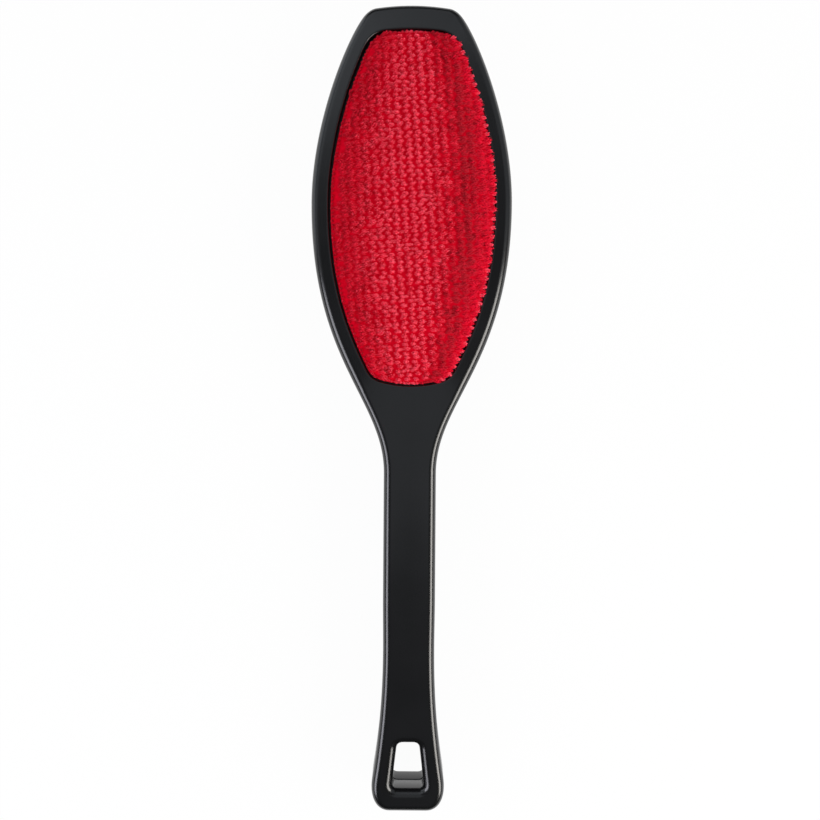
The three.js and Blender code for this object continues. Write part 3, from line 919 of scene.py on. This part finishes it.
# Soft lights: name, place, aim, size, brightness and colour. Two bright strips draw the lines along the
# edges, and the flat faces mirror the dim cards. A card overhead aims a hair aside, which sets its long side.
SOFT_LIGHTS = (
    ("right_strip", (0.46, -0.206, 0.31), (0, -0.206, 0.012), (0.508, 0.25), 7.0, WARM),
    ("left_strip", (-0.46, -0.217, 0.31), (0, -0.217, 0.012), (0.486, 0.25), 4.8, COOL),
    ("top_card", (0.0, 0.1, 0.6), (0.0, 0.0999, 0.0), (0.26, 0.5), 0.34, PALE_BLUE),
    ("low_card", (0.0, -0.4, 0.6), (0.0, -0.4001, 0.0), (0.26, 0.5), 0.075, PALE_BLUE),
    ("head_card", (-0.15, 0.55, 0.55), (0, 0.05, 0.012), (0.7, 0.45), 0.46, PALE_BLUE),
    ("left_low_card", (-0.5, 0.36, 0.11), (0, 0.08, 0.012), (0.6, 0.22), 0.97, PALE_BLUE),
    ("left_card", (-0.45, 0.36, 0.34), (0, 0.08, 0.012), (0.6, 0.36), 0.39, PALE_BLUE),
    ("left_high_card", (-0.3, 0.36, 0.56), (0, 0.08, 0.012), (0.6, 0.32), 0.17, PALE_BLUE),
    ("right_card", (0.45, 0.36, 0.32), (0, 0.08, 0.012), (0.6, 0.7), 0.34, PALE_BLUE),
)


def make_camera():
    """Camera straight above the brush, with the head up."""
    data = bpy.data.cameras.new("photo_camera")
    data.sensor_width = SENSOR_WIDTH
    data.angle = 2 * math.atan(CAMERA_VIEW / 2 / (CAMERA_HEIGHT - CAMERA_VIEW_PLANE))
    data.clip_start = 0.01
    data.clip_end = 50
    camera = bpy.data.objects.new("photo_camera", data)
    camera.location = (*CAMERA_OFFSET, MIDDLE_HEIGHT + CAMERA_HEIGHT)
    camera.rotation_euler = (0, 0, CAMERA_ROLL)
    bpy.context.scene.collection.objects.link(camera)
    bpy.context.scene.camera = camera


def soft_box(name, place, aim, size, radiance, colour):
    """A rectangular soft light of a given brightness, turned to face a point."""
    data = bpy.data.lights.new(name, "AREA")
    data.shape = "RECTANGLE"
    data.size, data.size_y = size
    data.color = colour
    data.energy = radiance * size[0] * size[1] * math.pi
    light = bpy.data.objects.new(name, data)
    facing = Vector(aim) - Vector(place)
    light.matrix_world = Matrix.Translation(place) @ facing.to_track_quat("-Z", "Y").to_matrix().to_4x4()
    bpy.context.scene.collection.objects.link(light)


def by_ray(tree, plain, gloss, seen):
    """A value that depends on who looks: light in general, a gloss, or the camera."""
    path = node(tree, "ShaderNodeLightPath")
    clear = node(tree, "ShaderNodeMath", operation="MAXIMUM")
    tree.links.new(path.outputs["Is Camera Ray"], clear.inputs[0])
    tree.links.new(path.outputs["Is Transmission Ray"], clear.inputs[1])
    hidden = blend(tree, path.outputs["Is Glossy Ray"], plain, gloss)
    return blend(tree, clear.outputs[0], hidden, seen)


def make_floor():
    """A wide white floor that keeps a faint shadow."""
    bm = bmesh.new()
    bmesh.ops.create_grid(bm, x_segments=1, y_segments=1, size=FLOOR_HALF)
    mesh = bpy.data.meshes.new("floor")
    bm.to_mesh(mesh)
    bm.free()
    material = bpy.data.materials.new("white_floor")
    material.use_nodes = True
    tree = material.node_tree
    tree.nodes.clear()
    diffuse = node(tree, "ShaderNodeBsdfDiffuse")
    diffuse.inputs["Color"].default_value = FLOOR_GREY
    glow = node(tree, "ShaderNodeEmission")
    glow.inputs["Strength"].default_value = 1.0
    mix = node(tree, "ShaderNodeMixShader")
    tree.links.new(by_ray(tree, plain=0.0, gloss=0.8, seen=0.96), mix.inputs["Fac"])
    tree.links.new(diffuse.outputs["BSDF"], mix.inputs[1])
    tree.links.new(glow.outputs["Emission"], mix.inputs[2])
    output = node(tree, "ShaderNodeOutputMaterial")
    tree.links.new(mix.outputs["Shader"], output.inputs["Surface"])
    mesh.materials.append(material)
    floor = bpy.data.objects.new("floor", mesh)
    floor.location = (0, 0, -FLOOR_DROP)
    bpy.context.scene.collection.objects.link(floor)


def make_world():
    """Even studio surroundings, white where the camera looks past the floor."""
    world = bpy.data.worlds.new("studio")
    world.use_nodes = True
    tree = world.node_tree
    background = tree.nodes["Background"]
    background.inputs["Color"].default_value = (1, 1, 1, 1)
    tree.links.new(by_ray(tree, plain=0.48, gloss=0.03, seen=1.0), background.inputs["Strength"])
    bpy.context.scene.world = world


# The brush

bpy.context.scene.view_settings.view_transform = "Standard"
make_camera()
make_world()
make_floor()
for soft_light in SOFT_LIGHTS:
    soft_box(*soft_light)

plastic = black_plastic()
plate = plate_plastic()
foam = sponge()
ground_cloth = red_ground()
nap = red_nap()

for side, turned_over, seed in (("front", False, 3), ("rear", True, 7)):
    shell = finish_piece(f"{side}_half_shell", half_shell(), plastic, turned_over)
    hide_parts(f"{side}_shell")

    slab = sponge_underlay()
    set_askew(slab)
    underlay = finish_piece(f"{side}_sponge_underlay", slab, foam, turned_over)
    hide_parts(f"{side}_foam_pad")

    cap = nap_ground()
    tufts = nap_pile(cap, -1 if turned_over else 1, seed)
    set_askew(cap)
    set_askew(tufts)
    cloth = finish_piece(f"{side}_nap_ground", cap, ground_cloth, turned_over)
    thick = cloth.modifiers.new("cloth_thickness", "SOLIDIFY")
    thick.thickness = CLOTH_THICKNESS * MM
    thick.offset = -1
    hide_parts(f"{side}_nap_cloth")
    pile = finish_piece(f"{side}_nap_pile", tufts, nap, turned_over)

    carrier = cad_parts[f"{side}_pad_plate"]
    carrier.data.materials.clear()
    carrier.data.materials.append(plate)
